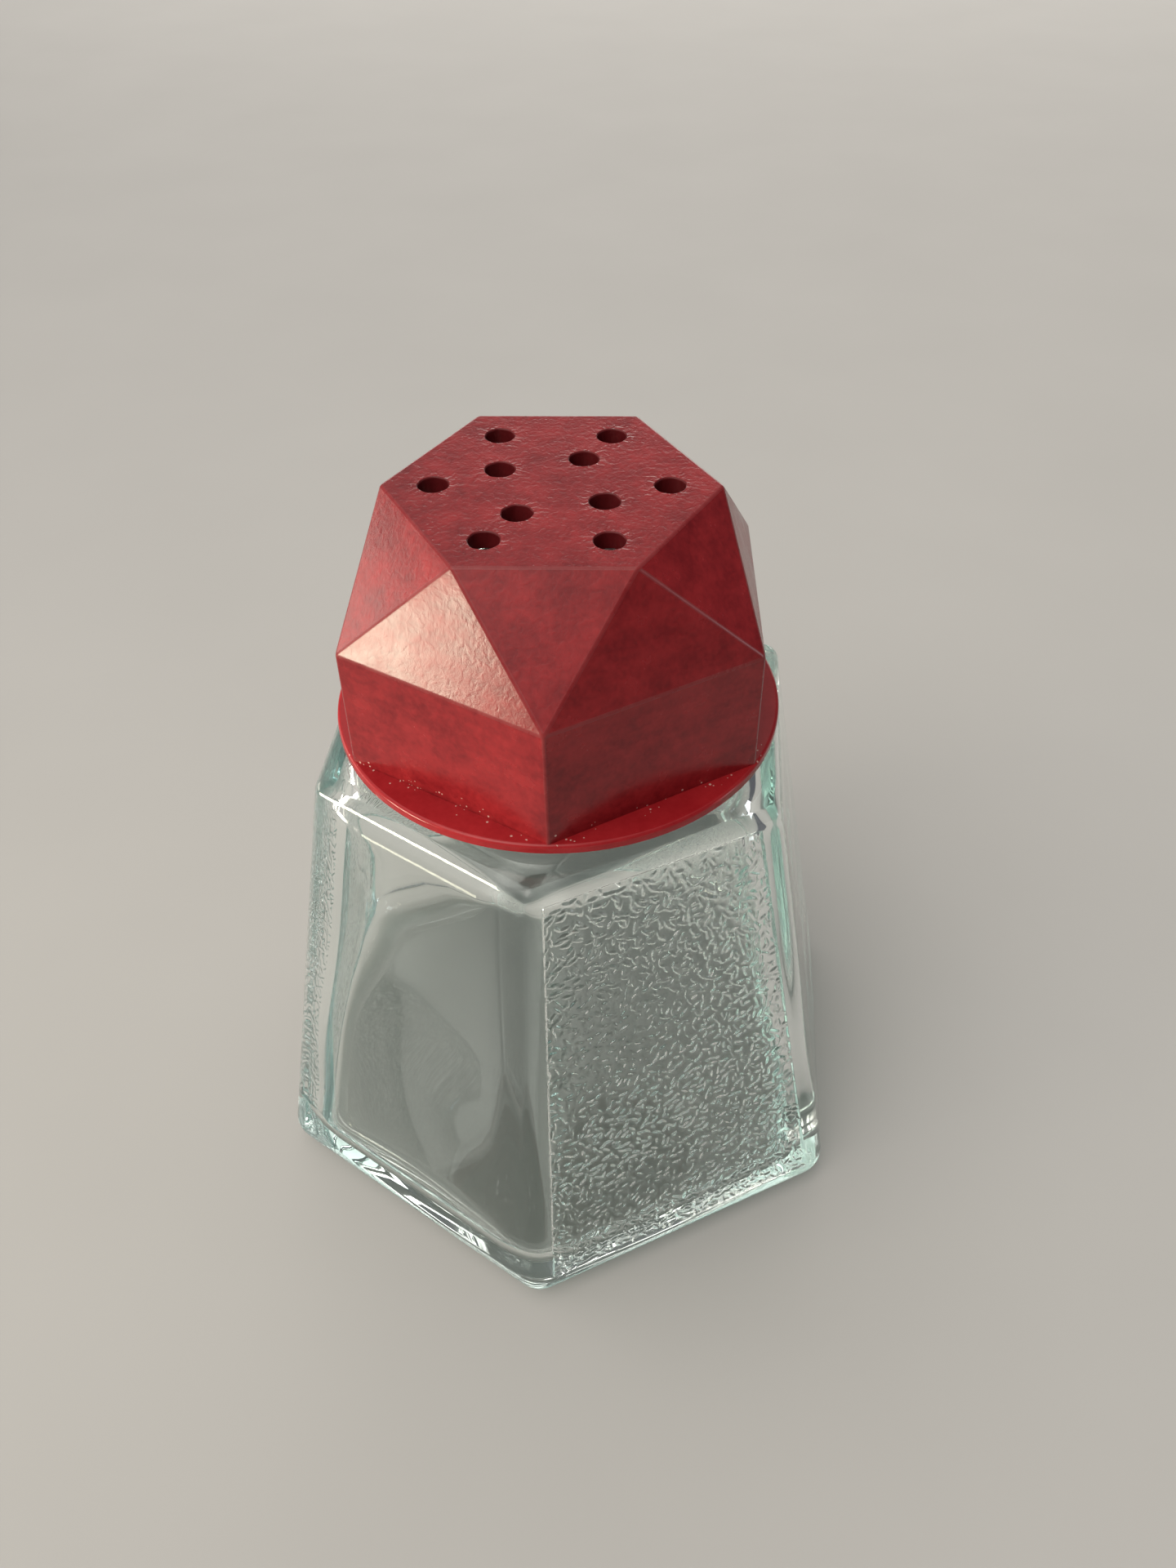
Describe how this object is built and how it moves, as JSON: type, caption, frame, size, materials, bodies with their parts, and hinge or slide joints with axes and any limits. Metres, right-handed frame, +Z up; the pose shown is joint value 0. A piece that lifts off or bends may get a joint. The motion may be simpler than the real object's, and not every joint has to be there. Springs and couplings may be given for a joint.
{
  "type": "powder shaker",
  "caption": "Tapered hexagonal clear-glass powder shaker with alternating smooth and grained panels, closed by a red faceted screw lid with sprinkling holes.",
  "frame": {"origin": "centre of the foot, on the surface that the jar stands on", "axes": "+Z up along the neck's axis, -Y towards the jar edge that faces the viewer, X across two flats"},
  "size_m": [0.0862, 0.0982, 0.11],
  "materials": {
    "glass": "clear pressed glass, smooth, with a rice-grain relief on every other panel",
    "seal": "soft pale sealing ring",
    "lid": "moulded dark red thermoset, mottled satin facets and a glossier flange"
  },
  "bodies": {
    "jar": {"glass_jar": "glass"},
    "seal": {"lip_seal": "seal"},
    "lid": {"shaker_lid": "lid"}
  },
  "joints": [
    {"name": "lid_rise", "type": "slide", "parent": "jar", "child": "seal", "axis": [0, 0, 1], "range_m": [0, 0.015]},
    {"name": "lid_turn", "type": "hinge", "parent": "seal", "child": "lid", "pos_m": [0, 0, 0.092], "axis": [0, 0, 1], "range_deg": [0, 1080]}
  ],
  "couplings": [
    {"joint": "lid_rise", "follows": "lid_turn", "m_per_rad": 0.00079577}
  ]
}
